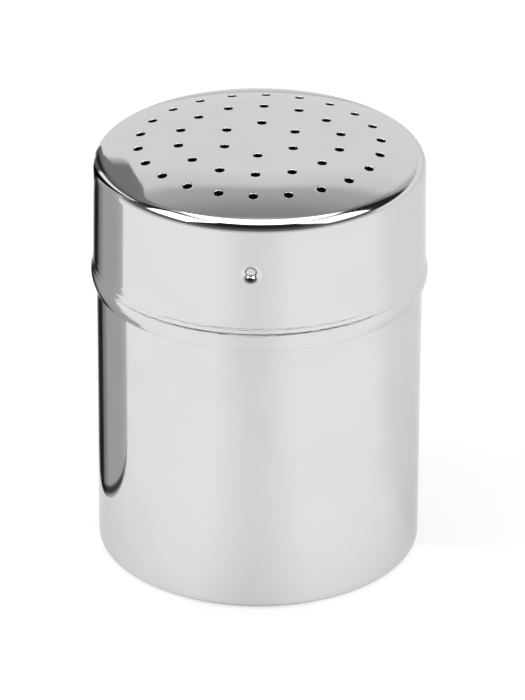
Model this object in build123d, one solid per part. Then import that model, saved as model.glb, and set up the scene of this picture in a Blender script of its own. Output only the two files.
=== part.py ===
"""Spice shaker of polished stainless sheet: a deep-drawn container and a perforated bayonet lid.

Millimetres, +Z up. The origin lies on the table, on the axis of the container.
"""

import os
from math import atan, cos, degrees, radians, sin, sqrt

from build123d import *

# Sheet metal, the same for both pieces
sheet = 0.4
free_edge_round = 0.18

# Container
body_diameter = 70.0
overall_height = 94.7
foot_corner_radius = 1.8
foot_ring_width = 4.0
base_recess = 1.0
base_ramp_width = 2.5
base_bend_radius = 1.5
neck_draw = 0.3
neck_land = 3.0
neck_bend_radius = 60.0
rim_seat_gap = 0.15

# Lid
lid_height = 32.5
lid_clearance = 0.25
skirt_draft = 0.28
crown_flat_radius = 12.0
crown_slope = 16.5
crown_corner_radius = 3.0

# Stiffening bead round the lid's lower edge, with the small step above it
bead_rise = 0.48
bead_flank_height = 1.4
bead_flank_slope = 15.0
bead_radius = 4.7
bead_top_slope = 13.0
bead_shoulder_radius = 1.8
bead_shoulder_slope = 28.0
step_land = 0.65
step_height = 0.6
step_out = 0.16
step_bend_radius = 0.8

# Sprinkling holes: the rings run outwards from the innermost one
hole_diameter = 2.0
hole_ring_radii = (8.4, 17.5, 25.9)
inner_ring_holes = 6
holes_added_per_ring = 8
hole_edge_margin = 3.0

# Bayonet: two nibs pressed into the lid's skirt, and the grooves they run in
nib_count = 2
nib_drop = 14.75
nib_mouth_diameter = 3.5
nib_tip_diameter = 1.6
nib_depth = 1.1
nib_round = 0.6
groove_side_clearance = 0.35
groove_floor_clearance = 0.15
groove_turn = 25.0

# Worked out from the sizes above
body_radius = body_diameter / 2
lid_edge_z = overall_height - lid_height
lid_edge_radius = body_radius + lid_clearance + sheet
bead_outer_radius = lid_edge_radius + bead_rise
neck_radius = body_radius - neck_draw
nib_z = overall_height - nib_drop


def sheet_section(outline, side):
    """The sheet's cross-section: the outline is its outer face, and its free end is rounded."""
    band = make_face(offset(outline, amount=sheet, side=side).edges())
    free_end = band.vertices().filter_by(lambda v: v.X > sheet)
    corners = sorted(free_end, key=lambda v: (Vector(v) - outline.position_at(1)).length)[:2]
    return fillet(corners, free_edge_round)


def spun(section):
    """A section drawn with X as radius and Y as height, turned round the Z axis."""
    return revolve(Plane.XZ * section, axis=Axis.Z)


def crown_geometry():
    """Radius of the crown's arc, and the centre of the corner arc that it runs into."""
    corner_x = skirt_top_radius() - crown_corner_radius
    arc_radius = (corner_x - crown_flat_radius) / sin(radians(crown_slope)) + crown_corner_radius
    drop = (arc_radius - crown_corner_radius) * cos(radians(crown_slope))
    return arc_radius, (corner_x, overall_height - arc_radius + drop)


def bead_points():
    """Turning points of the lid's lower edge, from the skirt's foot down to the free edge."""
    shoulder = bead_shoulder_radius
    top = radians(bead_top_slope)
    steep = radians(bead_shoulder_slope)
    crest_z = lid_edge_z + bead_flank_height + bead_radius * sin(radians(bead_flank_slope))
    arc_end = (
        bead_outer_radius - bead_radius * (1 - cos(top)),
        crest_z + bead_radius * sin(top),
    )
    crease = (
        arc_end[0] - shoulder * (cos(top) - cos(steep)),
        arc_end[1] + shoulder * (sin(steep) - sin(top)),
    )
    land_top = (crease[0], crease[1] + step_land)
    foot = (crease[0] - step_out, land_top[1] + step_height)
    return foot, land_top, crease, arc_end, crest_z


def skirt_top_radius():
    """Outer radius of the skirt where the crown's corner begins."""
    return bead_points()[0][0] - skirt_draft


def lid_outline():
    """Outer face of the lid, from the axis out over the crown and down to the free edge."""
    arc_radius, corner = crown_geometry()
    foot, land_top, crease, arc_end, crest_z = bead_points()
    draft = degrees(atan(skirt_draft / (corner[1] - foot[1])))
    with BuildLine() as line:
        Line((0, overall_height), (crown_flat_radius, overall_height))
        CenterArc((crown_flat_radius, overall_height - arc_radius), arc_radius, 90, -crown_slope)
        start = 90 - crown_slope
        corner_arc = CenterArc(corner, crown_corner_radius, start, draft - start)
        FilletPolyline(corner_arc @ 1, foot, land_top, crease, radius=step_bend_radius)
        flank = -bead_flank_slope
        shoulder_centre = (
            arc_end[0] - bead_shoulder_radius * cos(radians(bead_top_slope)),
            arc_end[1] - bead_shoulder_radius * sin(radians(bead_top_slope)),
        )
        turn = bead_top_slope - bead_shoulder_slope
        CenterArc(shoulder_centre, bead_shoulder_radius, bead_shoulder_slope, turn)
        bead_centre = (bead_outer_radius - bead_radius, crest_z)
        bead_arc = CenterArc(bead_centre, bead_radius, bead_top_slope, flank - bead_top_slope)
        lean = bead_flank_height * sin(radians(bead_flank_slope)) / cos(radians(bead_flank_slope))
        Line(bead_arc @ 1, bead_arc @ 1 + Vector(-lean, -bead_flank_height))
    return line.wire()


def skirt_radius_at(z):
    """Outer radius of the lid's drafted skirt at a height."""
    top_z = crown_geometry()[1][1]
    foot_x, foot_z = bead_points()[0]
    return foot_x - skirt_draft * (z - foot_z) / (top_z - foot_z)


def rim_height():
    """Height of the container's rim, which stops just under the lid's rounded corner."""
    corner_x, corner_z = crown_geometry()[1]
    reach = crown_corner_radius - sheet - rim_seat_gap - sheet / 2
    sideways = neck_radius - sheet / 2 - corner_x
    return corner_z + sqrt(max(reach**2 - sideways**2, 0)) + sheet / 2


def container_outline():
    """Outer face of the container, from the axis out over the recessed base and up to the rim."""
    ring_edge = body_radius - foot_corner_radius - foot_ring_width
    points = (
        (0, base_recess),
        (ring_edge - base_ramp_width, base_recess),
        (ring_edge, 0),
        (body_radius, 0),
        (body_radius, lid_edge_z + neck_land),
        (neck_radius, rim_height()),
    )
    bends = (base_bend_radius, base_bend_radius, foot_corner_radius, neck_bend_radius)
    return FilletPolyline(*points, radius=bends)


def filled(outline):
    """The solid that an outline encloses when it is turned round the axis."""
    start = outline.position_at(0)
    end = outline.position_at(1)
    closing = Polyline(end, (0, end.Y), start)
    return spun(make_face(outline.edges() + closing.edges()))


def nib_form(grow):
    """One pressed nib as a blunt cone that points inwards at -Y, grown on every side by grow."""
    surface = skirt_radius_at(nib_z)
    slope = (nib_mouth_diameter - nib_tip_diameter) / 2 / nib_depth
    overshoot = sheet * 2
    sideways = grow * sqrt(1 + slope**2)
    cone = Cone(
        nib_mouth_diameter / 2 + slope * overshoot + sideways,
        nib_tip_diameter / 2 - slope * grow + sideways,
        overshoot + nib_depth + grow,
        align=(Align.CENTER, Align.CENTER, Align.MIN),
    )
    tip_edge = cone.edges().sort_by(Axis.Z)[-1]
    cone = fillet(tip_edge, nib_round + grow)
    return Pos(0, -surface - overshoot, nib_z) * Rot(X=-90) * cone


def groove_form(grow):
    """One bayonet groove at -Y: an entry leg down from the rim, and a leg round to the lock."""
    nib_tip_radius = skirt_radius_at(nib_z) - nib_depth - sheet
    floor_radius = nib_tip_radius - groove_floor_clearance - grow
    half_width = nib_mouth_diameter / 2 + groove_side_clearance + grow
    reach = body_radius + sheet
    entry_height = rim_height() + sheet - nib_z
    entry = Pos(0, 0, nib_z) * Box(
        2 * half_width, reach, entry_height, align=(Align.CENTER, Align.MAX, Align.MIN)
    )
    foot = Pos(0, 0, nib_z) * Rot(X=90) * Cylinder(
        half_width, reach, align=(Align.CENTER, Align.CENTER, Align.MIN)
    )
    end = Rot(Z=-groove_turn) * foot
    section = Pos(reach / 2, nib_z) * Rectangle(reach, 2 * half_width)
    leg = Rot(Z=-90 - groove_turn) * revolve(Plane.XZ * section, Axis.Z, groove_turn)
    core = Cylinder(floor_radius, 2 * overall_height)
    return entry + foot + end + leg - core


def pressed(shell, blank, form):
    """The shell with a form pressed into it at each nib place, its sheet carried round the form."""
    for k in range(nib_count):
        place = Rot(Z=360 * k / nib_count)
        hollow = place * form(0)
        wall = (place * form(sheet) - hollow) & blank
        shell = shell - hollow + wall
    return shell


def sprinkling_holes():
    """The drills for the rings of holes, each ring with a hole on the nibs' line."""
    edge = crown_geometry()[1][0] - hole_edge_margin
    drill = Cylinder(hole_diameter / 2, overall_height)
    drills = []
    for ring, radius in enumerate(hole_ring_radii):
        if radius > edge:
            continue
        count = inner_ring_holes + holes_added_per_ring * ring
        places = PolarLocations(radius, count, start_angle=-90)
        drills += [place * drill for place in places]
    return Pos(Z=overall_height) * Compound(drills)


def make_container():
    outline = container_outline()
    shell = spun(sheet_section(outline, Side.LEFT))
    return pressed(shell, filled(outline), groove_form)


def make_lid():
    outline = lid_outline()
    shell = spun(sheet_section(outline, Side.RIGHT))
    return pressed(shell, filled(outline), nib_form) - sprinkling_holes()


os.makedirs("parts", exist_ok=True)
export_step(make_container(), "parts/container.step")
export_step(make_lid(), "parts/lid.step")
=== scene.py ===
"""Spice shaker of polished stainless steel: the finished container and lid, and their stage."""

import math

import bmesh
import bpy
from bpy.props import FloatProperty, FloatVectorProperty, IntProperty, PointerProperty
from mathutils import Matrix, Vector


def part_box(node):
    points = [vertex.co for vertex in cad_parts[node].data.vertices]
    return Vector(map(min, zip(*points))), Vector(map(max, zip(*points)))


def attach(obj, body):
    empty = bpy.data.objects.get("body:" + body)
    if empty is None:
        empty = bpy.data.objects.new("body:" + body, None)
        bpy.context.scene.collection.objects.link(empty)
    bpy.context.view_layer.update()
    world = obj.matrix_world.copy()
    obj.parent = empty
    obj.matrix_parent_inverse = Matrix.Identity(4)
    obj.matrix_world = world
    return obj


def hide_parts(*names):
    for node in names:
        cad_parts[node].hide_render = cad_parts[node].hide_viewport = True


bl_info = {
    "name": "Spice Shaker",
    "version": (1, 0, 0),
    "blender": (4, 5, 0),
    "location": "View3D > Sidebar > Shaker",
    "description": "Draws a steel spice shaker with a bayonet lid and sets it on a studio stage",
    "category": "Object",
}

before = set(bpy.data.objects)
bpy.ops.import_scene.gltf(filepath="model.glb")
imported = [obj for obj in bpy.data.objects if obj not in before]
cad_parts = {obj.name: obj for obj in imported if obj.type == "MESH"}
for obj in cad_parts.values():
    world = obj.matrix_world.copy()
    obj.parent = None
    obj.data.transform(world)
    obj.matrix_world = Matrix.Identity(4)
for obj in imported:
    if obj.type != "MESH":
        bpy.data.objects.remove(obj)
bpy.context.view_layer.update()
_, container_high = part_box("container")
_, lid_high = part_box("lid")

# Every length below is in metres; MM turns a drawing size in millimetres into metres
MM = 0.001
FULL_TURN = math.tau
FRONT = -math.pi / 2


def place_of(name, millimetres, description, **limits):
    """A coordinate that the user may change, with its default in millimetres."""
    return FloatProperty(
        name=name,
        description=description,
        default=millimetres * MM,
        precision=5,
        unit="LENGTH",
        subtype="DISTANCE",
        **limits,
    )


def size_of(name, millimetres, description):
    """A length that the user may change, with its default in millimetres."""
    return place_of(name, millimetres, description, min=0.0)


def angle_of(name, turn, description):
    """An angle that the user may change, with its default in degrees."""
    return FloatProperty(
        name=name,
        description=description,
        default=math.radians(turn),
        unit="ROTATION",
        subtype="ANGLE",
    )


def share_of(name, value, description):
    """A plain number that the user may change."""
    return FloatProperty(name=name, description=description, default=value, min=0.0)


def colour_of(name, value, description):
    """A colour that the user may change."""
    return FloatVectorProperty(
        name=name,
        description=description,
        default=value,
        size=3,
        min=0.0,
        max=1.0,
        subtype="COLOR",
    )


class SheetSizes(bpy.types.PropertyGroup):
    """Sizes that both pieces share."""

    sheet: size_of("Sheet", 0.4, "Thickness of the steel sheet")
    edge_round: size_of("Edge rounding", 0.17, "Rounding along a free edge of the sheet")
    nib_height: size_of("Nib height", 79.95, "Height of the nibs and of the grooves' locking leg")
    nib_depth: size_of("Nib depth", 1.1, "How far a nib is pressed in")
    nib_mouth: size_of("Nib mouth", 3.5, "Diameter of a nib at the skirt's face")
    nib_tip: size_of("Nib tip", 1.6, "Diameter of a nib at its bottom")
    nib_lip: size_of("Nib lip", 2.2, "Radius of the bend round a nib's mouth")
    nib_round: size_of("Nib rounding", 0.6, "Radius of the bend round a nib's bottom")
    nib_margin: size_of("Nib margin", 0.4, "Width of the skirt's own face kept round a nib")


class ContainerSizes(bpy.types.PropertyGroup):
    """Sizes of the deep-drawn container."""

    radius: size_of("Radius", container_high.x / MM, "Outer radius of the body")
    rim_height: size_of("Rim height", container_high.z / MM, "Height of the open rim")
    foot_round: size_of("Foot rounding", 1.8, "Radius of the corner round the foot")
    foot_ring: size_of("Foot ring", 4.0, "Width of the flat ring that the body stands on")
    base_recess: size_of("Base recess", 1.0, "How far the base is drawn up inside its ring")
    base_ramp: size_of("Base ramp", 2.5, "Width of the slope round the recess")
    base_bend: size_of("Base bend", 1.5, "Radius of the bends at the slope")
    neck_start: size_of("Neck start", 65.2, "Height where the body starts to draw in")
    neck_draw: size_of("Neck draw", 0.3, "How much the rim's radius is drawn in")
    neck_bend: size_of("Neck bend", 60.0, "Radius of the bend under the neck")
    groove_gap: size_of("Groove gap", 0.35, "Clearance of a nib at each side of its groove")
    groove_round: size_of("Groove rounding", 0.5, "Radius along a groove's mouth and floor")
    groove_turn: angle_of("Groove turn", 25.0, "Turn of the lid from entry to lock")
    groove_floor: size_of("Groove floor", 33.87, "Distance of a groove's floor from the axis")


class LidSizes(bpy.types.PropertyGroup):
    """Sizes of the perforated lid."""

    top: size_of("Top", lid_high.z / MM, "Height of the crown")
    bead_radius: size_of("Bead radius", lid_high.x / MM, "Outer radius at the bead's crest")
    edge_height: size_of("Edge height", 62.2, "Height of the free edge")
    skirt_draft: size_of("Skirt draft", 0.28, "How much the skirt narrows towards the crown")
    crown_flat: size_of("Crown flat", 12.0, "Radius of the level middle of the crown")
    crown_slope: angle_of("Crown slope", 16.5, "Slope of the crown at its edge")
    corner_round: size_of("Corner rounding", 3.0, "Radius of the corner round the crown")
    bead_curve: size_of("Bead curve", 4.7, "Radius of the bead's bulge")
    bead_top: angle_of("Bead top", 13.0, "Slope of the bulge where the shoulder begins")
    bead_flank: size_of("Bead flank", 1.4, "Height of the straight flank under the bulge")
    bead_lean: angle_of("Bead lean", 15.0, "Slope of the flank towards the container")
    shoulder_round: size_of("Shoulder rounding", 1.8, "Radius of the shoulder above the bulge")
    shoulder_top: angle_of("Shoulder top", 28.0, "Slope of the shoulder where it starts")
    step_land: size_of("Step land", 0.65, "Height of the land between step and shoulder")
    step_height: size_of("Step height", 0.6, "Height of the step")
    step_out: size_of("Step out", 0.16, "How far the step stands out")
    step_bend: size_of("Step bend", 0.8, "Radius of the step's bends")
    hole_radius: size_of("Hole radius", 1.0, "Radius of a sprinkling hole")
    hole_round: size_of("Hole rounding", 0.14, "Rounding that the punch leaves round a hole's mouth")
    first_ring: size_of("First ring", 8.4, "Radius of the inner ring of holes")
    second_ring: size_of("Second ring", 17.5, "Radius of the middle ring of holes")
    third_ring: size_of("Third ring", 25.9, "Radius of the outer ring of holes")
    inner_holes: IntProperty(name="Inner holes", description="Holes in the inner ring", default=6, min=3)
    added_holes: IntProperty(name="Added holes", description="Further holes in each ring", default=8, min=0)


class SteelFinish(bpy.types.PropertyGroup):
    """Colours and polish of the two finishes."""

    polished: colour_of("Polished steel", (0.66, 0.66, 0.655), "Colour of the polished outside")
    drawn: colour_of("Drawn steel", (0.56, 0.56, 0.555), "Colour of the unpolished inside")
    polished_roughness: share_of("Polished roughness", 0.06, "Roughness of the polished outside")
    drawn_roughness: share_of("Drawn roughness", 0.26, "Roughness of the unpolished inside")
    polished_span: share_of("Polished span", 0.05, "Roughness that marks add on the outside")
    drawn_span: share_of("Drawn span", 0.12, "Roughness that marks add on the inside")
    scratch_depth: size_of("Scratch depth", 0.0005, "Depth of the fine wiping scratches")
    line_depth: size_of("Line depth", 0.0006, "Depth of the lines that drawing leaves inside")
    wave_depth: size_of("Wave depth", 0.012, "Height of the slow waves that drawing leaves")
    rolling_depth: size_of("Rolling depth", 0.055, "Height of the uneven marks round the bead")
    rolling_middle: size_of("Rolling middle", 66.2, "Height where the marks' band has its middle")
    rolling_reach: size_of("Rolling reach", 3.4, "Half the height of the marks' band")


class StudioSettings(bpy.types.PropertyGroup):
    """The camera, the lamps and the surroundings that the steel mirrors."""

    azimuth: angle_of("Azimuth", 2.9, "Camera's turn round the shaker, from the front to the right")
    elevation: angle_of("Elevation", 26.98, "Camera's height above the horizon")
    distance: size_of("Distance", 1143.0, "Camera's distance from its aim")
    roll: angle_of("Roll", 0.25, "Camera's roll")
    aim_height: size_of("Aim height", 40.7, "Height of the point on the axis that the camera aims by")
    lens: FloatProperty(name="Lens", description="Focal length on a 36 mm sensor", default=271.3)
    floor_colour: colour_of("Floor", (0.9, 0.9, 0.9), "Colour of the pale floor")
    lamp_radiance: share_of("Lamp radiance", 3.0, "Brightness of the soft lamps")
    neighbour_radius: size_of("Neighbour radius", 27.1, "Radius of the mirrored pot")
    neighbour_foot: size_of("Neighbour foot", 7.5, "Radius of the corner round its foot")
    neighbour_height: size_of("Neighbour height", 160.0, "Height of the mirrored pot")
    neighbour_x: place_of("Neighbour X", -69.5, "Place of the mirrored pot to the right")
    neighbour_y: place_of("Neighbour Y", 17.4, "Place of the mirrored pot to the back")


SETTINGS = (
    ("shaker_sheet", SheetSizes),
    ("shaker_container", ContainerSizes),
    ("shaker_lid", LidSizes),
    ("shaker_finish", SteelFinish),
    ("shaker_studio", StudioSettings),
)


# How finely the pieces are divided: columns round the axis, turn per step of a bend, and steps
# along a stretch
CONTAINER_COLUMNS = 256
LID_COLUMNS = 320
DRILL_COLUMNS = 32
CONTAINER_BEND = math.radians(8)
GROOVE_BEND = math.radians(26)
NIB_BEND = math.radians(7)
STEP_BEND = math.radians(5)
MIDDLE_STEPS = 6
WALL_STEPS = 12
NECK_STEPS = 28
CROWN_STEPS = 20
CORNER_STEPS = 18
WINDOW_STEPS = 10
SHOULDER_STEPS = 5
BULGE_STEPS = 9

# An edge that turns by more than this, in degrees, stays sharp in the shading
SHEET_SHARP = 50
HOLE_SHARP = 35
POT_SHARP = 40

# The edges of a sheet's free rim turn by more than this, and lie this near to the rim's height
FREE_EDGE_SHARP = math.radians(60)
RIM_NEAR = 0.1 * MM
EDGE_BELOW = 0.2 * MM
EDGE_ABOVE = 0.3 * MM

# A groove's finely divided reach and the slant of its flank
GROOVE_REACH = 1.6 * MM
GROOVE_FLANK = 0.12 * MM
TINY = 1e-6

# How far a drill stands out above the crown, and below it in sheets; the crown's smooth shading
# reaches this deep, and up to this share of a hole's mouth
DRILL_ABOVE = 0.8 * MM
DRILL_SHEETS = 2.5
CROWN_DEPTH = 6 * MM
MOUTH_SHARE = 0.995


# ---------------------------------------------------------------- outlines

def arc(centre, radius, start, end, steps):
    """Points along an arc, from one angle to another, both included."""
    points = []
    for k in range(steps + 1):
        angle = start + (end - start) * k / steps
        points.append(centre + radius * Vector((math.cos(angle), math.sin(angle))))
    return points


def rounded(corners, radii, fineness):
    """A path through corner points, each inner corner rounded by its radius."""
    points = [corners[0]]
    for before, corner, after, radius in zip(corners, corners[1:], corners[2:], radii):
        back = (before - corner).normalized()
        ahead = (after - corner).normalized()
        half = back.angle(ahead) / 2
        middle = corner + (back + ahead).normalized() * radius / math.sin(half)
        first = corner + back * radius / math.tan(half) - middle
        last = corner + ahead * radius / math.tan(half) - middle
        start = math.atan2(first.y, first.x)
        turn = (math.atan2(last.y, last.x) - start + math.pi) % FULL_TURN - math.pi
        points += arc(middle, radius, start, start + turn, max(2, round(abs(turn) / fineness)))
    points.append(corners[-1])
    return points


def divided(start, end, steps):
    """Points that divide a straight stretch, without its two ends."""
    return [start.lerp(end, k / steps) for k in range(1, steps)]


# ---------------------------------------------------------------- modelling helpers

def select_none():
    bpy.ops.object.select_all(action="DESELECT")


def make_active(thing):
    select_none()
    thing.select_set(True)
    bpy.context.view_layer.objects.active = thing


def edit(thing, element="VERT"):
    """Opens a piece for editing with nothing selected, and returns its mesh."""
    make_active(thing)
    bpy.ops.object.mode_set(mode="EDIT")
    bpy.ops.mesh.select_mode(type=element)
    bpy.ops.mesh.select_all(action="DESELECT")
    return bmesh.from_edit_mesh(thing.data)


def choose(mesh, things, test):
    """Selects the vertices, edges or faces that pass a test."""
    for thing in things:
        if test(thing):
            thing.select_set(True)
    mesh.select_flush_mode()


def settle(thing, place):
    """Moves each selected vertex to its place."""
    mesh = bmesh.from_edit_mesh(thing.data)
    for vertex in mesh.verts:
        if vertex.select:
            vertex.co = place(vertex.co)
    bmesh.update_edit_mesh(thing.data)


def finish_edit():
    bpy.ops.object.mode_set(mode="OBJECT")


def face_outwards():
    """Turns all faces of the piece outwards and ends its editing."""
    bpy.ops.mesh.select_all(action="SELECT")
    bpy.ops.mesh.normals_make_consistent(inside=False)
    finish_edit()


def shade_smooth(thing, turn):
    """Shades a piece smooth, apart from edges that turn by more than this many degrees."""
    make_active(thing)
    bpy.ops.object.shade_smooth_by_angle(angle=math.radians(turn))


def apply_modifier(thing, kind, **values):
    """Adds a modifier with these values and applies it."""
    make_active(thing)
    modifier = thing.modifiers.new(kind.title(), kind)
    for name, value in values.items():
        setattr(modifier, name, value)
    bpy.ops.object.modifier_apply(modifier=modifier.name)


def drawn_shell(name, outline, columns):
    """A shell of revolution, drawn ring by ring from its free edge to the pole on the axis.

    The outline's points are (radius, height), the first one on the axis.
    """
    select_none()
    at = outline[-1]
    bpy.ops.mesh.primitive_circle_add(vertices=columns, radius=at.x, location=(0, 0, at.y))
    shell = bpy.context.object
    shell.name = name
    shell.data.name = name
    bpy.ops.object.transform_apply(location=True, rotation=True, scale=True)
    bpy.ops.object.mode_set(mode="EDIT")
    bpy.ops.mesh.select_mode(type="VERT")
    bpy.ops.mesh.select_all(action="SELECT")
    for to in reversed(outline[1:-1]):
        bpy.ops.mesh.extrude_region_move(TRANSFORM_OT_translate={"value": (0, 0, to.y - at.y)})
        scale = to.x / at.x
        bpy.ops.transform.resize(value=(scale, scale, 1), center_override=(0, 0, to.y))
        at = to
    bpy.ops.mesh.extrude_region_move(TRANSFORM_OT_translate={"value": (0, 0, outline[0].y - at.y)})
    bpy.ops.mesh.merge(type="CENTER")
    face_outwards()
    return shell


def give_wall(shell, sheet):
    """Gives a shell its sheet thickness on the inside, with the inner wall in the second finish."""
    apply_modifier(
        shell,
        "SOLIDIFY",
        thickness=sheet,
        offset=-1,
        use_even_offset=True,
        use_quality_normals=True,
        material_offset=1,
        material_offset_rim=0,
    )


def round_free_edge(shell, low, high, width):
    """Rounds the two edges of the sheet's free rim, which lies between two heights."""
    mesh = edit(shell, "EDGE")

    def on_rim(one):
        inside = all(low <= vertex.co.z <= high for vertex in one.verts)
        return inside and one.is_manifold and one.calc_face_angle() > FREE_EDGE_SHARP

    choose(mesh, mesh.edges, on_rim)
    bpy.ops.mesh.bevel(offset=width, segments=3, profile=0.5, clamp_overlap=True)
    finish_edit()


def form_sheet(shell, shared, finishes, edge_low, edge_high):
    """Gives a formed shell its finishes, its wall, a rounded free edge and smooth shading."""
    for finish in finishes:
        shell.data.materials.append(finish)
    give_wall(shell, shared.sheet)
    round_free_edge(shell, edge_low, edge_high, shared.edge_round)
    shade_smooth(shell, SHEET_SHARP)


# ---------------------------------------------------------------- container

def container_outline(sizes):
    """Outer face of the container, from the middle of the base out and up to the rim."""
    ring_edge = sizes.radius - sizes.foot_round - sizes.foot_ring
    corners = [
        Vector((0, sizes.base_recess)),
        Vector((ring_edge - sizes.base_ramp, sizes.base_recess)),
        Vector((ring_edge, 0)),
        Vector((sizes.radius, 0)),
        Vector((sizes.radius, sizes.neck_start)),
        Vector((sizes.radius - sizes.neck_draw, sizes.rim_height)),
    ]
    radii = (sizes.base_bend, sizes.base_bend, sizes.foot_round, sizes.neck_bend)
    return rounded(corners, radii, CONTAINER_BEND)


def container_rings(sizes):
    """The outline with the extra rings that the wall and the grooves need."""
    path = container_outline(sizes)
    base_middle = divided(path[0], path[1], MIDDLE_STEPS)
    foot_end = max(k for k, point in enumerate(path) if point.y < sizes.foot_round * 1.01)
    wall = divided(path[foot_end], path[foot_end + 1], WALL_STEPS)
    neck = divided(path[-2], path[-1], NECK_STEPS)
    foot = path[1 : foot_end + 1]
    bend = path[foot_end + 1 : -1]
    return [path[0], *base_middle, *foot, *wall, *bend, *neck, path[-1]]


def body_radius_at(sizes, height):
    """Outer radius of the body, which draws in along the neck."""
    drawn = (height - sizes.neck_start) / (sizes.rim_height - sizes.neck_start)
    return sizes.radius - sizes.neck_draw * max(0.0, drawn)


def groove_contour(along, up, reach, half_width):
    """Distance of a point from a groove's edge, less than nothing inside, and its outward direction.

    The groove is an entry leg down from the rim and a leg along the neck to the lock.
    """
    entry = Vector((0, max(0.0, up)))
    leg = Vector((min(0.0, max(-reach, along)), 0))
    point = Vector((along, up))
    nearest = min((entry, leg), key=lambda place: (point - place).length)
    away = point - nearest
    direction = away.normalized() if away.length > 1e-9 else Vector((0, 1))
    return away.length - half_width, direction


def press_groove(shell, sizes, shared, middle):
    """Presses one bayonet groove into the neck, its entry at this angle round the axis."""
    half_width = shared.nib_mouth / 2 + sizes.groove_gap
    reach = sizes.groove_turn * sizes.radius
    depth = sizes.radius - sizes.groove_floor
    far = 3 * sizes.groove_round
    corners = [
        Vector((far, 0)),
        Vector((GROOVE_FLANK, 0)),
        Vector((-GROOVE_FLANK, depth)),
        Vector((-far, depth)),
    ]
    section = rounded(corners, (sizes.groove_round, sizes.groove_round), GROOVE_BEND)[1:-1]

    def unrolled(place):
        turn = (math.atan2(place.y, place.x) - middle + math.pi) % FULL_TURN - math.pi
        return turn * sizes.radius, place.z - shared.nib_height

    def near_groove(face):
        along, up = unrolled(face.calc_center_median())
        distance, _ = groove_contour(along, up, reach, half_width)
        return distance < GROOVE_REACH

    def pressed(place):
        along, up = unrolled(place)
        distance, direction = groove_contour(along, up, reach, half_width)
        level = min(section, key=lambda point: abs(point.x - distance))
        outermost, innermost = section[0], section[-1]
        if distance > outermost.x + GROOVE_FLANK:
            level = Vector((distance, 0))
        elif distance < innermost.x - GROOVE_FLANK:
            level = Vector((distance, depth))
        on_rim = place.z > sizes.rim_height - TINY
        shift = direction * (level.x - distance)
        along += shift.x
        up += 0 if on_rim else shift.y
        height = up + shared.nib_height
        angle = middle + along / sizes.radius
        surface = body_radius_at(sizes, height)
        radius = surface - level.y * (surface - sizes.groove_floor) / depth
        return Vector((radius * math.cos(angle), radius * math.sin(angle), height))

    mesh = edit(shell, "FACE")
    choose(mesh, mesh.faces, near_groove)
    bpy.ops.mesh.subdivide(number_cuts=2, smoothness=0, quadcorner="INNERVERT")
    settle(shell, pressed)
    finish_edit()


def make_container(sizes, shared, finishes):
    shell = drawn_shell("container_body", container_rings(sizes), CONTAINER_COLUMNS)
    for side in range(2):
        press_groove(shell, sizes, shared, FRONT + side * math.pi)
    form_sheet(shell, shared, finishes, sizes.rim_height - RIM_NEAR, sizes.rim_height + RIM_NEAR)
    return shell


# ---------------------------------------------------------------- lid

def bead_turns(sizes):
    """Turning points of the lid's lower edge: step foot, land top, crease, bulge top and crest height."""
    crest = sizes.edge_height + sizes.bead_flank + sizes.bead_curve * math.sin(sizes.bead_lean)
    bulge_top = Vector((
        sizes.bead_radius - sizes.bead_curve * (1 - math.cos(sizes.bead_top)),
        crest + sizes.bead_curve * math.sin(sizes.bead_top),
    ))
    crease = bulge_top + sizes.shoulder_round * Vector((
        math.cos(sizes.shoulder_top) - math.cos(sizes.bead_top),
        math.sin(sizes.shoulder_top) - math.sin(sizes.bead_top),
    ))
    land_top = crease + Vector((0, sizes.step_land))
    foot = land_top + Vector((-sizes.step_out, sizes.step_height))
    return foot, land_top, crease, bulge_top, crest


def crown_frame(sizes):
    """Radius and centre of the crown's arc, and centre of the corner arc that it runs into."""
    foot = bead_turns(sizes)[0]
    corner_x = foot.x - sizes.skirt_draft - sizes.corner_round
    radius = (corner_x - sizes.crown_flat) / math.sin(sizes.crown_slope) + sizes.corner_round
    centre = Vector((sizes.crown_flat, sizes.top - radius))
    corner = Vector((corner_x, centre.y + (radius - sizes.corner_round) * math.cos(sizes.crown_slope)))
    return radius, centre, corner


def skirt_ends(sizes):
    """The skirt's straight face, from under the corner down to the step."""
    foot = bead_turns(sizes)[0]
    corner = crown_frame(sizes)[2]
    draft = math.atan(sizes.skirt_draft / (corner.y - foot.y))
    top = corner + sizes.corner_round * Vector((math.cos(draft), math.sin(draft)))
    return top, foot, draft


def skirt_radius_at(sizes, height):
    """Outer radius of the drafted skirt at a height."""
    top, foot, _ = skirt_ends(sizes)
    return foot.x + (top.x - foot.x) * (height - foot.y) / (top.y - foot.y)


def nib_section(shared):
    """A nib's outer face as (distance from its axis, depth) points, from the skirt in to its bottom."""
    tip = Vector((shared.nib_tip / 2, shared.nib_depth))
    bottom = Vector((0, shared.nib_depth))
    mouth = Vector((shared.nib_mouth / 2, 0))
    far = mouth + Vector((2 * shared.nib_lip, 0))
    section = rounded([far, mouth, tip, bottom], (shared.nib_lip, shared.nib_round), NIB_BEND)
    return [*section[1:-1], *divided(section[-2], bottom, 3)]


def nib_window(shared):
    """Half the height of the window in the skirt's rings that a nib is pressed into."""
    return nib_section(shared)[0].x + shared.nib_margin


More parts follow.
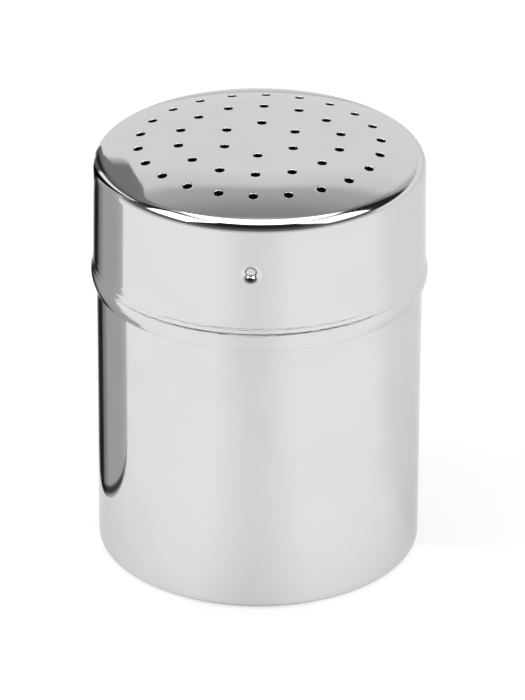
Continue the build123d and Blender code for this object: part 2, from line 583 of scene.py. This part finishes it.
def lid_outline(sizes, shared):
    """Outer face of the lid, from the axis over the crown and down to the free edge."""
    radius, centre, corner = crown_frame(sizes)
    foot, land_top, crease, bulge_top, crest = bead_turns(sizes)
    top, _, draft = skirt_ends(sizes)
    upright = math.pi / 2
    slope = upright - sizes.crown_slope
    flat_edge = Vector((sizes.crown_flat, sizes.top))
    points = [Vector((0, sizes.top)), *divided(Vector((0, sizes.top)), flat_edge, MIDDLE_STEPS)]
    points += arc(centre, radius, upright, slope, CROWN_STEPS)
    points += arc(corner, sizes.corner_round, slope, draft, CORNER_STEPS)[1:]
    window = nib_window(shared)
    above = Vector((skirt_radius_at(sizes, shared.nib_height + window), shared.nib_height + window))
    below = Vector((skirt_radius_at(sizes, shared.nib_height - window), shared.nib_height - window))
    points += divided(top, above, MIDDLE_STEPS)
    points += [above, *divided(above, below, WINDOW_STEPS), below]
    lower = rounded([below, foot, land_top, crease], (sizes.step_bend,) * 2, STEP_BEND)
    points += divided(below, lower[1], MIDDLE_STEPS)
    points += lower[1:]
    outward = Vector((math.cos(sizes.bead_top), math.sin(sizes.bead_top)))
    shoulder = bulge_top - sizes.shoulder_round * outward
    shoulder_arc = arc(
        shoulder, sizes.shoulder_round, sizes.shoulder_top, sizes.bead_top, SHOULDER_STEPS
    )
    points += shoulder_arc[1:]
    bulge = Vector((sizes.bead_radius - sizes.bead_curve, crest))
    points += arc(bulge, sizes.bead_curve, sizes.bead_top, -sizes.bead_lean, BULGE_STEPS)[1:]
    lean = Vector((-math.tan(sizes.bead_lean), -1)) * sizes.bead_flank
    points += [points[-1] + lean / 2, points[-1] + lean]
    return points


def press_nib(shell, sizes, shared, side):
    """Presses one nib into the skirt, at the front for side -1 and at the back for side 1."""
    height = shared.nib_height
    window = nib_window(shared)
    steps = nib_section(shared)

    def in_window(face):
        middle = face.calc_center_median()
        return side * middle.y > 0 and abs(middle.x) < window and abs(middle.z - height) < window

    def round_window(one):
        places = [vertex.co for vertex in one.verts]
        near = all(side * place.y > 0 and place.z > height - 2 * window for place in places)
        return one.is_boundary and near

    mesh = edit(shell, "FACE")
    choose(mesh, mesh.faces, in_window)
    bpy.ops.mesh.delete(type="FACE")
    bpy.ops.mesh.select_mode(type="EDGE")
    mesh = bmesh.from_edit_mesh(shell.data)
    choose(mesh, mesh.edges, round_window)
    for step in steps:
        bpy.ops.mesh.extrude_region_move()

        def ring(place, step=step):
            angle = math.atan2(place.z - height, place.x)
            x = step.x * math.cos(angle)
            z = height + step.x * math.sin(angle)
            surface = skirt_radius_at(sizes, z)
            return Vector((x, side * (math.sqrt(surface**2 - x**2) - step.y), z))

        settle(shell, ring)
    bpy.ops.mesh.extrude_region_move()
    bpy.ops.mesh.merge(type="CENTER")
    face_outwards()


def drill_shape(sizes, shared, finish):
    """The shape of one hole, its mouth rounded as the punch leaves it, with its mouth at the origin."""
    wide = sizes.hole_radius + sizes.hole_round
    below = shared.sheet * DRILL_SHEETS
    mouth = arc(Vector((wide, -sizes.hole_round)), sizes.hole_round, math.pi, math.pi / 2, 4)
    foot = [Vector((0, -below)), Vector((sizes.hole_radius, -below))]
    drill = drawn_shell("drill", [*foot, *mouth, Vector((wide, DRILL_ABOVE))], DRILL_COLUMNS)
    mesh = edit(drill, "EDGE")
    choose(mesh, mesh.edges, lambda one: one.is_boundary)
    bpy.ops.mesh.edge_face_add()
    face_outwards()
    drill.data.materials.append(finish)
    return drill


def hole_places(sizes):
    """Where each hole's mouth lies on the crown, and which way the crown faces there."""
    radius, centre, _ = crown_frame(sizes)
    places = []
    for ring, ring_radius in enumerate((sizes.first_ring, sizes.second_ring, sizes.third_ring)):
        slope = math.asin(max(0.0, ring_radius - centre.x) / radius)
        height = centre.y + radius * math.cos(slope)
        count = sizes.inner_holes + sizes.added_holes * ring
        for k in range(count):
            turn = FULL_TURN * k / count
            lean = Matrix.Rotation(slope, 4, "X")
            out = Matrix.Translation((0, -ring_radius, height))
            places.append(Matrix.Rotation(turn, 4, "Z") @ out @ lean)
    return places


def punch_holes(lid, sizes, shared, finish):
    """Punches the rings of holes through the crown and keeps its smooth shading round them."""
    smooth = lid.copy()
    smooth.data = lid.data.copy()
    bpy.context.collection.objects.link(smooth)
    drill = drill_shape(sizes, shared, finish)
    drills = []
    places = hole_places(sizes)
    for place in places:
        one = drill.copy()
        one.data = drill.data.copy()
        one.matrix_world = place
        bpy.context.collection.objects.link(one)
        drills.append(one)
    bpy.data.objects.remove(drill)
    select_none()
    for one in drills:
        one.select_set(True)
    bpy.context.view_layer.objects.active = drills[0]
    bpy.ops.object.join()
    joined = bpy.context.object
    apply_modifier(lid, "BOOLEAN", operation="DIFFERENCE", solver="EXACT", object=joined)
    bpy.data.objects.remove(joined)
    shade_smooth(lid, HOLE_SHARP)
    crown = lid.vertex_groups.new(name="crown_face")
    wide = (sizes.hole_radius + sizes.hole_round) * MOUTH_SHARE
    axes = [(place.translation, (place.to_3x3() @ Vector((0, 0, 1)))) for place in places]
    members = []
    for vertex in lid.data.vertices:
        if vertex.co.z < sizes.top - CROWN_DEPTH:
            continue
        offsets = [vertex.co - middle for middle, _ in axes]
        clear = all((gap - gap.dot(axis) * axis).length > wide for gap, (_, axis) in zip(offsets, axes))
        if clear:
            members.append(vertex.index)
    crown.add(members, 1.0, "REPLACE")
    apply_modifier(
        lid,
        "DATA_TRANSFER",
        object=smooth,
        use_loop_data=True,
        data_types_loops={"CUSTOM_NORMAL"},
        loop_mapping="POLYINTERP_LNORPROJ",
        vertex_group=crown.name,
    )
    lid.vertex_groups.clear()
    bpy.data.objects.remove(smooth)


def make_lid(sizes, shared, finishes):
    shell = drawn_shell("perforated_lid", lid_outline(sizes, shared), LID_COLUMNS)
    for side in (-1, 1):
        press_nib(shell, sizes, shared, side)
    edge = sizes.edge_height
    form_sheet(shell, shared, finishes, edge - EDGE_BELOW, edge + EDGE_ABOVE)
    punch_holes(shell, sizes, shared, finishes[0])
    return shell


# ---------------------------------------------------------------- materials

# Where a new node lies in the node editor
NODES_PER_ROW = 10
NODE_WIDTH = 220
NODE_HEIGHT = 320

SCRATCH_TURNS = (12, 75, 130)
SCRATCH_LEAN = 0.6
SCRATCH_STRETCH = (0.07, 1.0, 1.0)
SCRATCH_OFFSET = Vector((0.31, 0.17, 0.23))
SCRATCH_SHARPNESS = 45.0
SCRATCH_SCALE = 700.0
SCRATCH_PATCH_SCALE = 90.0
SCRATCH_PATCH_LEVEL = 0.42
SCRATCH_PATCH_GAIN = 5.0
SCRATCH_DULLNESS = 0.8
SMUDGE_SCALE = 70.0
SMUDGE_LEVEL = 0.45
SMUDGE_GAIN = 3.2
SMUDGE_SHADE = 0.965
DRAWN_LINE_STRETCH = (1.0, 1.0, 0.02)
DRAWN_LINE_SCALE = 1400.0
WAVE_SCALE = 75.0
ROLLING_STRETCH = (0.2, 0.2, 1.0)
ROLLING_SCALE = 2600.0
ROLLING_FADE = 1500.0
GRAZING_GREY = 0.84


def feed(tree, node, inputs):
    """Feeds a node's inputs, by name or number, with sockets or plain values."""
    for key, value in inputs.items():
        if isinstance(value, bpy.types.NodeSocket):
            tree.links.new(value, node.inputs[key])
        else:
            node.inputs[key].default_value = value


def add_node(tree, kind, inputs=None, **values):
    """Adds a node, sets its own values and feeds its inputs."""
    row, column = divmod(len(tree.nodes), NODES_PER_ROW)
    node = tree.nodes.new(kind)
    node.location = (column * NODE_WIDTH, -row * NODE_HEIGHT)
    for name, value in values.items():
        setattr(node, name, value)
    feed(tree, node, inputs or {})
    return node


def math_node(tree, operation, first, second=0.5, clamp=False):
    """The output of a Math node that is fed by sockets or numbers."""
    inputs = {0: first, 1: second}
    return add_node(tree, "ShaderNodeMath", inputs, operation=operation, use_clamp=clamp).outputs[0]


def weighted_sum(tree, start, terms):
    """A starting number plus (socket, factor) terms."""
    total = start
    for value, factor in terms:
        total = math_node(tree, "ADD", math_node(tree, "MULTIPLY", value, factor), total)
    return total


def raised(tree, value, level, gain):
    """How far a value stands above a level, times a gain, kept between 0 and 1."""
    above = math_node(tree, "SUBTRACT", value, level)
    return math_node(tree, "MULTIPLY", above, gain, clamp=True)


def mapped(tree, vector, scale, **inputs):
    """A vector with its axes scaled, and moved or turned where inputs say so."""
    inputs.update(Vector=vector, Scale=scale)
    return add_node(tree, "ShaderNodeMapping", inputs).outputs["Vector"]


def noise(tree, vector, scale, detail, **inputs):
    """The value of a noise texture over a vector."""
    inputs.update(Vector=vector, Scale=scale, Detail=detail)
    return add_node(tree, "ShaderNodeTexNoise", inputs).outputs["Fac"]


def mixed(tree, factor, low, high):
    """A colour between two, by a factor."""
    inputs = {"Factor": factor, "A": low, "B": high}
    return add_node(tree, "ShaderNodeMix", inputs, data_type="RGBA").outputs["Result"]


def grey(value):
    """A grey as four numbers."""
    return (value, value, value, 1.0)


def tinted(colour, factor):
    """A colour made darker or lighter by a factor, as four numbers."""
    return tuple(min(1.0, part * factor) for part in colour) + (1.0,)


def object_place(tree):
    """The place of a surface point on its own object."""
    return add_node(tree, "ShaderNodeTexCoord").outputs["Object"]


def coordinates(tree, vector):
    """The X, Y and Z of a vector."""
    return add_node(tree, "ShaderNodeSeparateXYZ", {0: vector}).outputs


def new_group(name, numbers, outputs):
    """A node group with a vector and named numbers as inputs, and named numbers as outputs."""
    tree = bpy.data.node_groups.new(name, "ShaderNodeTree")
    tree.interface.new_socket(name="Vector", in_out="INPUT", socket_type="NodeSocketVector")
    for label in numbers:
        tree.interface.new_socket(name=label, in_out="INPUT", socket_type="NodeSocketFloat")
    for label in outputs:
        tree.interface.new_socket(name=label, in_out="OUTPUT", socket_type="NodeSocketFloat")
    return tree, add_node(tree, "NodeGroupInput").outputs, add_node(tree, "NodeGroupOutput").inputs


def scratch_group():
    """Fine crossing scratches that wiping leaves, as a mask."""
    tree, given, made = new_group("wiping_scratches", ["Scale"], ["Mask"])
    total = 0.0
    for k, turn in enumerate(SCRATCH_TURNS):
        around = math.radians(turn)
        rotation = (around, around * SCRATCH_LEAN, around)
        turned = mapped(
            tree, given["Vector"], SCRATCH_STRETCH, Rotation=rotation, Location=SCRATCH_OFFSET * k
        )
        line = noise(tree, turned, given["Scale"], 1.0, Roughness=0.4)
        line = math_node(tree, "ABSOLUTE", math_node(tree, "SUBTRACT", line, 0.5))
        line = math_node(tree, "MULTIPLY", line, -SCRATCH_SHARPNESS)
        line = math_node(tree, "ADD", line, 1.0, clamp=True)
        total = math_node(tree, "MAXIMUM", total, line)
    patches = noise(tree, given["Vector"], SCRATCH_PATCH_SCALE, 2.0)
    amount = raised(tree, patches, SCRATCH_PATCH_LEVEL, SCRATCH_PATCH_GAIN)
    tree.links.new(math_node(tree, "MULTIPLY", total, amount), made["Mask"])
    return tree


def handling_group():
    """Faint smudges that handling and wiping leave on polished steel, as a mask."""
    tree, given, made = new_group("handling_marks", ["Scale"], ["Mask"])
    broad = noise(tree, given["Vector"], given["Scale"], 3.0, Distortion=0.6)
    tree.links.new(raised(tree, broad, SMUDGE_LEVEL, SMUDGE_GAIN), made["Mask"])
    return tree


def drawing_group():
    """Lines that the drawing die leaves along the wall, and the slow waves of the sheet."""
    tree, given, made = new_group("drawing_marks", ["Line Scale", "Wave Scale"], ["Lines", "Waves"])
    along = mapped(tree, given["Vector"], DRAWN_LINE_STRETCH)
    tree.links.new(noise(tree, along, given["Line Scale"], 2.0), made["Lines"])
    waves = noise(tree, given["Vector"], given["Wave Scale"], 1.0, Roughness=0.35)
    tree.links.new(waves, made["Waves"])
    return tree


def rolling_group():
    """Uneven marks that rolling leaves round the lid's bead, as a height inside the bead's band."""
    tree, given, made = new_group("rolling_marks", ["Middle", "Half Width"], ["Height"])
    height = coordinates(tree, given["Vector"])["Z"]
    away = math_node(tree, "ABSOLUTE", math_node(tree, "SUBTRACT", height, given["Middle"]))
    inside = math_node(tree, "SUBTRACT", given["Half Width"], away)
    band = math_node(tree, "MULTIPLY", inside, ROLLING_FADE, clamp=True)
    marks = noise(tree, mapped(tree, given["Vector"], ROLLING_STRETCH), ROLLING_SCALE, 2.0)
    tree.links.new(math_node(tree, "MULTIPLY", marks, band), made["Height"])
    return tree


def place_group(tree, group, **inputs):
    """Places a node group on a surface with its own values, and returns its outputs."""
    fed = {name.replace("_", " "): value for name, value in inputs.items()}
    fed["Vector"] = object_place(tree)
    return add_node(tree, "ShaderNodeGroup", fed, node_tree=group).outputs


def steel(name, groups, finish, colour, roughness, roughness_span, line_depth):
    """A steel finish: its tone, polish and relief vary over the surface through the shared groups."""
    material = bpy.data.materials.new(name)
    material.use_nodes = True
    tree = material.node_tree
    scratches = place_group(tree, groups["scratches"], Scale=SCRATCH_SCALE)["Mask"]
    smudges = place_group(tree, groups["handling"], Scale=SMUDGE_SCALE)["Mask"]
    drawing = place_group(
        tree, groups["drawing"], Line_Scale=DRAWN_LINE_SCALE, Wave_Scale=WAVE_SCALE
    )
    rolled = place_group(
        tree, groups["rolling"], Middle=finish.rolling_middle, Half_Width=finish.rolling_reach
    )["Height"]
    dulled = ((smudges, roughness_span), (scratches, roughness_span * SCRATCH_DULLNESS))
    relief = (
        (drawing["Waves"], finish.wave_depth),
        (drawing["Lines"], line_depth),
        (scratches, -finish.scratch_depth),
        (rolled, finish.rolling_depth),
    )
    height = weighted_sum(tree, 0.0, relief)
    bump = add_node(tree, "ShaderNodeBump", {"Height": height, "Strength": 1.0, "Distance": 1.0})
    inputs = {
        "Metallic": 1.0,
        "Specular Tint": grey(GRAZING_GREY),
        "Base Color": mixed(tree, smudges, tinted(colour, 1.0), tinted(colour, SMUDGE_SHADE)),
        "Roughness": weighted_sum(tree, roughness, dulled),
        "Normal": bump.outputs["Normal"],
    }
    feed(tree, tree.nodes["Principled BSDF"], inputs)
    return material


def make_finishes(finish):
    """The polished outside and the plainer, drawn inside."""
    groups = {
        "scratches": scratch_group(),
        "handling": handling_group(),
        "drawing": drawing_group(),
        "rolling": rolling_group(),
    }
    polished = steel(
        "polished_steel",
        groups,
        finish,
        colour=finish.polished,
        roughness=finish.polished_roughness,
        roughness_span=finish.polished_span,
        line_depth=0.0,
    )
    drawn = steel(
        "drawn_steel",
        groups,
        finish,
        colour=finish.drawn,
        roughness=finish.drawn_roughness,
        roughness_span=finish.drawn_span,
        line_depth=finish.line_depth,
    )
    return polished, drawn


# ---------------------------------------------------------------- stage

PICTURE_WIDTH = 525
PICTURE_HEIGHT = 700
AIM_X = 259.0
AIM_Y = 365.8
SENSOR = 36.0

# Lengths of the stage in metres
CLIP_START = 0.05
CLIP_END = 50.0
FLOOR_WIDTH = 12.0
CANOPY_RADIUS = 3.6
CANOPY_EDGE = 0.02
LAMP_DISTANCE = 2.6
LAMP_AIM = Vector((0, 0, 0.05))

# Each lamp's azimuth, elevation and half width as the shaker sees them, in degrees
LAMPS = (
    ("overhead_softbox", 0.0, 90.0, 21.0),
    ("left_softbox", -67.0, 46.0, 15.7),
    ("right_softbox", 69.5, 46.0, 15.7),
)

WORLD_GREY = 0.45
CANOPY_STRENGTH = 1.08
FLOOR_GLOW_MIRRORED = 0.45
FLOOR_GLOW_SEEN = 0.22

# What the steel mirrors, as greys: by height from the horizon at 0 to the zenith at 1, and by
# azimuth in degrees from the front at 0 towards the right
ROOM_BY_HEIGHT = ((0.0, 0.9), (0.1, 0.6), (0.2, 0.15), (0.5, 0.02), (0.7, 0.01), (0.75, 1.0))
RIGHT_BY_HEIGHT = ((0.0, 0.9), (0.2, 1.0), (0.25, 0.02), (0.68, 0.01), (0.73, 1.0))
RIGHT_BY_TURN = ((-180, 0.0), (80, 0.0), (92, 1.0), (180, 1.0))
SWEEP_BY_HEIGHT = ((0.0, 0.95), (0.35, 0.9), (0.45, 0.8), (0.5, 0.5), (0.65, 0.3), (0.72, 1.0))
SWEEP_BY_TURN = (
    (-180, 1.0), (-120, 1.0), (-105, 0.0), (120, 0.0), (135, 0.6), (165, 1.0), (180, 1.0),
)
# The floor's glow round the shaker as the steel mirrors it: painted shade and light, darker in front and
# behind, brighter at the sides
FLOOR_SHADE_BY_TURN = (
    (-180, 0.8), (-150, 1.1), (-30, 1.1), (0, 0.75), (30, 1.1), (75, 1.1), (100, 0.85), (180, 0.8),
)

# The mirrored pot's painted reflections: its stripes by azimuth, and its rings by height in millimetres,
# which climb as they turn; the rings hold a painted shadow line at the foot, a dark band and a painted
# highlight near the top
NEIGHBOUR_REFLECTION_BY_TURN = (
    (-180, 0.5), (-10, 0.65), (30, 0.5), (50, 0.5), (60, 0.3), (66, 0.02), (76, 0.02), (90, 0.3),
    (180, 0.5),
)
NEIGHBOUR_LIGHT_BY_HEIGHT = (
    (0, 0.5), (3, 0.5), (4, 0.06), (6, 0.06), (7, 0.5), (95, 0.5), (97, 0.0), (102, 0.0), (104, 1.0),
    (108, 1.0), (111, 0.1), (130, 0.2), (160, 0.2),
)
NEIGHBOUR_CLIMB = 1.58
NEIGHBOUR_LEVEL_TURN = 0.578
NEIGHBOUR_FRONT = ((-180, 0.0), (-90, 0.0), (-70, 1.0), (100, 1.0), (115, 0.0), (180, 0.0))

# The pot's wider top: how far it stands out at each height, where it starts and its dark patch, a painted
# dark reflection
NEIGHBOUR_HOOD = ((0, 97), (1, 110), (5, 114), (3, 130), (-11, 160))
HOOD_START = ((0, 0.0), (91, 0.0), (96, 1.0))
HOOD_GREY = 0.62
HOOD_DARK = ((-180, 0.0), (58, 0.0), (62, 0.9), (78, 0.9), (88, 0.0), (180, 0.0))
HOOD_DARK_END = ((0, 1.0), (112, 1.0), (122, 0.0))


def direction_of(azimuth, elevation):
    """The direction from the shaker at an azimuth from the front to the right, and an elevation."""
    flat = math.cos(elevation)
    return Vector((math.sin(azimuth) * flat, -math.cos(azimuth) * flat, math.sin(elevation)))


def add_to_scene(name, data):
    """Adds a camera or a lamp to the scene."""
    thing = bpy.data.objects.new(name, data)
    bpy.context.scene.collection.objects.link(thing)
    return thing


def set_camera(studio):
    """Sets the camera so that the aim on the shaker's axis falls at its place in the picture."""
    back = direction_of(studio.azimuth, studio.elevation)
    right = Vector((math.cos(studio.azimuth), math.sin(studio.azimuth), 0))
    up = right.cross(-back)
    focal = studio.lens / SENSOR * PICTURE_HEIGHT
    across = (AIM_X - PICTURE_WIDTH / 2) / focal
    down = (AIM_Y - PICTURE_HEIGHT / 2) / focal
    view = (-back - across * right + down * up).normalized()
    level = view.cross(Vector((0, 0, 1))).normalized()
    above = level.cross(view)
    turn = Matrix((level, above, -view)).transposed().to_4x4() @ Matrix.Rotation(studio.roll, 4, "Z")
    data = bpy.data.cameras.new("studio_camera")
    data.lens = studio.lens
    data.sensor_width = SENSOR
    data.sensor_fit = "AUTO"
    data.clip_start = CLIP_START
    data.clip_end = CLIP_END
    camera = add_to_scene("studio_camera", data)
    aim = Vector((0, 0, studio.aim_height))
    camera.matrix_world = Matrix.Translation(aim + back * studio.distance) @ turn
    bpy.context.scene.camera = camera


def mirrored_only(thing):
    """Hides a studio prop from the camera and from the light, so that only the steel mirrors it."""
    thing.visible_camera = False
    thing.visible_diffuse = False
    thing.visible_shadow = False


def add_lamp(name, azimuth, elevation, spread, radiance):
    """A square soft lamp that faces the shaker, with its angles in degrees."""
    size = 2 * LAMP_DISTANCE * math.tan(math.radians(spread))
    data = bpy.data.lights.new(name, "AREA")
    data.shape = "SQUARE"
    data.size = size
    data.energy = radiance * size**2 * math.pi
    lamp = add_to_scene(name, data)
    toward = direction_of(math.radians(azimuth), math.radians(elevation))
    lamp.location = LAMP_AIM + toward * LAMP_DISTANCE
    lamp.rotation_mode = "QUATERNION"
    lamp.rotation_quaternion = (-toward).to_track_quat("-Z", "Y")
    lamp.visible_camera = False


def background_rays(tree):
    """One for camera, glossy and transmission rays, which show the background as it is."""
    rays = add_node(tree, "ShaderNodeLightPath").outputs
    seen = math_node(tree, "MAXIMUM", rays["Is Camera Ray"], rays["Is Glossy Ray"])
    return math_node(tree, "MAXIMUM", seen, rays["Is Transmission Ray"])


def make_world():
    """A white background, and soft grey light from all round."""
    world = bpy.data.worlds.new("studio_world")
    bpy.context.scene.world = world
    world.use_nodes = True
    tree = world.node_tree
    colour = mixed(tree, background_rays(tree), grey(WORLD_GREY), grey(1.0))
    feed(tree, tree.nodes["Background"], {"Color": colour, "Strength": 1.0})


def ramp(tree, value, stops):
    """A grey ramp over a value, from (place, grey) stops."""
    node = add_node(tree, "ShaderNodeValToRGB", {"Fac": value})
    node.color_ramp.interpolation = "EASE"
    elements = node.color_ramp.elements
    while len(elements) < len(stops):
        elements.new(0.5)
    for element, (place, tone) in zip(elements, stops):
        element.position = place
        element.color = grey(tone)
    return node.outputs["Color"]


def ramp_by_turn(tree, turn, stops):
    """A grey ramp round the axis, from (azimuth in degrees, grey) stops."""
    return ramp(tree, turn, [(azimuth / 360 + 0.5, tone) for azimuth, tone in stops])


def turn_share(tree, parts):
    """The azimuth of a point as a share of a turn, a half at the front and more towards the right."""
    ahead = math_node(tree, "MULTIPLY", parts["Y"], -1.0)
    turn = math_node(tree, "ARCTAN2", parts["X"], ahead)
    return math_node(tree, "ADD", math_node(tree, "DIVIDE", turn, FULL_TURN), 0.5)


def glow(tree, colour, strength):
    """A glowing surface."""
    inputs = {"Color": colour, "Strength": strength}
    return add_node(tree, "ShaderNodeEmission", inputs).outputs["Emission"]


def give_surface(thing, name, surface, *values):
    """Gives a studio prop a material with the surface that a function builds in its node tree."""
    material = bpy.data.materials.new(name)
    material.use_nodes = True
    tree = material.node_tree
    tree.nodes.clear()
    add_node(tree, "ShaderNodeOutputMaterial", {"Surface": surface(tree, *values)})
    thing.data.materials.append(material)


def floor_surface(tree, colour):
    """A pale diffuse surface that partly glows where it is mirrored or seen; its mirrored glow holds
    painted shade and light.
    """
    diffuse = add_node(tree, "ShaderNodeBsdfDiffuse", {"Color": tinted(colour, 1.0)}).outputs["BSDF"]
    turn = turn_share(tree, coordinates(tree, object_place(tree)))
    straight = add_node(tree, "ShaderNodeLightPath").outputs["Is Camera Ray"]
    # Mirrored rays see the painted shade and light round the shaker; camera rays see the floor at least
    # full white
    strength = math_node(tree, "MAXIMUM", ramp_by_turn(tree, turn, FLOOR_SHADE_BY_TURN), straight)
    shares = ((background_rays(tree), FLOOR_GLOW_MIRRORED), (straight, FLOOR_GLOW_SEEN))
    inputs = {"Fac": weighted_sum(tree, 0.0, shares), 1: diffuse, 2: glow(tree, grey(1.0), strength)}
    return add_node(tree, "ShaderNodeMixShader", inputs).outputs["Shader"]


def make_floor(studio):
    """A wide pale floor that keeps the shaker's shadow."""
    select_none()
    bpy.ops.mesh.primitive_plane_add(size=FLOOR_WIDTH, location=(0, 0, 0))
    floor = bpy.context.object
    floor.name = "studio_floor"
    give_surface(floor, "pale_floor", floor_surface, studio.floor_colour)


def room_surface(tree):
    """The dome's glow: a dark room in front, a lighter side on the right and a sweep behind."""
    unit = add_node(tree, "ShaderNodeVectorMath", {0: object_place(tree)}, operation="NORMALIZE")
    parts = coordinates(tree, unit.outputs[0])
    turn = turn_share(tree, parts)
    height = math_node(tree, "DIVIDE", math_node(tree, "ARCSINE", parts["Z"]), math.pi / 2)
    room = ramp(tree, height, ROOM_BY_HEIGHT)
    right = ramp(tree, height, RIGHT_BY_HEIGHT)
    front = mixed(tree, ramp_by_turn(tree, turn, RIGHT_BY_TURN), room, right)
    sweep = ramp(tree, height, SWEEP_BY_HEIGHT)
    colour = mixed(tree, ramp_by_turn(tree, turn, SWEEP_BY_TURN), front, sweep)
    return glow(tree, colour, CANOPY_STRENGTH)


def make_canopy():
    """The dark room in front and the darker ceiling behind, on a dome that only the steel mirrors."""
    select_none()
    bpy.ops.mesh.primitive_uv_sphere_add(
        segments=64, ring_count=32, radius=CANOPY_RADIUS, location=(0, 0, 0)
    )
    canopy = bpy.context.object
    canopy.name = "studio_canopy"
    edit(canopy)
    bpy.ops.mesh.select_all(action="SELECT")
    bpy.ops.mesh.bisect(plane_co=(0, 0, CANOPY_EDGE), plane_no=(0, 0, 1), clear_inner=True)
    finish_edit()
    give_surface(canopy, "dark_room", room_surface)
    mirrored_only(canopy)


def pot_surface(tree, top):
    """The pot's glow of painted reflections: stripes round its wall, rings that climb as they turn, and a
    plainer hood.
    """
    parts = coordinates(tree, object_place(tree))
    turn = turn_share(tree, parts)
    past = math_node(tree, "SUBTRACT", turn, NEIGHBOUR_LEVEL_TURN)
    climb = math_node(tree, "MULTIPLY", past, NEIGHBOUR_CLIMB)
    level = math_node(tree, "DIVIDE", parts["Z"], top)
    level = math_node(tree, "MULTIPLY", level, math_node(tree, "ADD", climb, 1.0), clamp=True)

    def by_height(stops):
        return ramp(tree, level, [(height * MM / top, tone) for height, tone in stops])

    # The hood's dark patch: a painted dark reflection
    dark = ramp_by_turn(tree, turn, HOOD_DARK)
    dark = math_node(tree, "MULTIPLY", dark, by_height(HOOD_DARK_END))
    hood = math_node(tree, "MULTIPLY", math_node(tree, "SUBTRACT", 1.0, dark), HOOD_GREY)
    # Stripes round the wall: painted reflections
    stripes = ramp_by_turn(tree, turn, NEIGHBOUR_REFLECTION_BY_TURN)
    colour = mixed(tree, by_height(HOOD_START), stripes, hood)
    # Rings by height, in front only: a painted shadow line at the foot, a dark band and a painted highlight
    # near the top
    change = math_node(tree, "MULTIPLY", by_height(NEIGHBOUR_LIGHT_BY_HEIGHT), 2.0)
    change = math_node(tree, "SUBTRACT", change, 1.0)
    change = math_node(tree, "MULTIPLY", change, ramp_by_turn(tree, turn, NEIGHBOUR_FRONT))
    return glow(tree, colour, math_node(tree, "ADD", change, 1.0))


def make_neighbour(studio):
    """A tall pot close behind on the left, which only the steel mirrors; its glow is painted reflection."""
    radius = studio.neighbour_radius
    corner = studio.neighbour_foot
    outline = [Vector((0, 0)), *arc(Vector((radius - corner, corner)), corner, FRONT, 0.0, 8)]
    outline += [Vector((radius + wider * MM, height * MM)) for wider, height in NEIGHBOUR_HOOD]
    prop = drawn_shell("studio_pot", outline, columns=128)
    shade_smooth(prop, POT_SHARP)
    prop.location = (studio.neighbour_x, studio.neighbour_y, 0)
    # The pot's glowing surface holds painted reflections, a painted highlight and a painted shadow line
    give_surface(prop, "neighbour_painted_reflection", pot_surface, studio.neighbour_height)
    mirrored_only(prop)


# ---------------------------------------------------------------- operators

class SHAKER_OT_container(bpy.types.Operator):
    """Draw the container, with its recessed base and the two bayonet grooves"""

    bl_idname = "shaker.container"
    bl_label = "Draw Container"

    def execute(self, context):
        scene = context.scene
        finishes = finishes_of(scene)
        piece = make_container(scene.shaker_container, scene.shaker_sheet, finishes)
        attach(piece, "container")
        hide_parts("container")
        return {"FINISHED"}


class SHAKER_OT_lid(bpy.types.Operator):
    """Draw the lid, with its bead, its two nibs and the rings of holes"""

    bl_idname = "shaker.lid"
    bl_label = "Draw Lid"

    def execute(self, context):
        scene = context.scene
        finishes = finishes_of(scene)
        piece = make_lid(scene.shaker_lid, scene.shaker_sheet, finishes)
        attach(piece, "lid")
        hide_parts("lid")
        return {"FINISHED"}


class SHAKER_OT_stage(bpy.types.Operator):
    """Set the pale floor, the lamps, the mirrored surroundings and the camera"""

    bl_idname = "shaker.stage"
    bl_label = "Set Stage"

    def execute(self, context):
        studio = context.scene.shaker_studio
        context.scene.view_settings.view_transform = "Standard"
        make_world()
        make_floor(studio)
        make_canopy()
        make_neighbour(studio)
        for lamp in LAMPS:
            add_lamp(*lamp, studio.lamp_radiance)
        set_camera(studio)
        return {"FINISHED"}


class SHAKER_PT_panel(bpy.types.Panel):
    """Lists the steps that draw the shaker"""

    bl_idname = "SHAKER_PT_panel"
    bl_label = "Spice Shaker"
    bl_space_type = "VIEW_3D"
    bl_region_type = "UI"
    bl_category = "Shaker"

    def draw(self, context):
        for operator in STEPS:
            self.layout.operator(operator.bl_idname)


def finishes_of(scene):
    """The polished and the drawn finish, made once and shared by both pieces."""
    names = ("polished_steel", "drawn_steel")
    if all(name in bpy.data.materials for name in names):
        return tuple(bpy.data.materials[name] for name in names)
    return make_finishes(scene.shaker_finish)


STEPS = (SHAKER_OT_container, SHAKER_OT_lid, SHAKER_OT_stage)


def register():
    for _, group in SETTINGS:
        bpy.utils.register_class(group)
    for step in (*STEPS, SHAKER_PT_panel):
        bpy.utils.register_class(step)
    for name, group in SETTINGS:
        setattr(bpy.types.Scene, name, PointerProperty(type=group))


def unregister():
    for name, _ in SETTINGS:
        delattr(bpy.types.Scene, name)
    for step in (SHAKER_PT_panel, *reversed(STEPS)):
        bpy.utils.unregister_class(step)
    for _, group in reversed(SETTINGS):
        bpy.utils.unregister_class(group)


def main():
    register()
    bpy.ops.shaker.container()
    bpy.ops.shaker.lid()
    bpy.ops.shaker.stage()


if __name__ == "__main__":
    main()
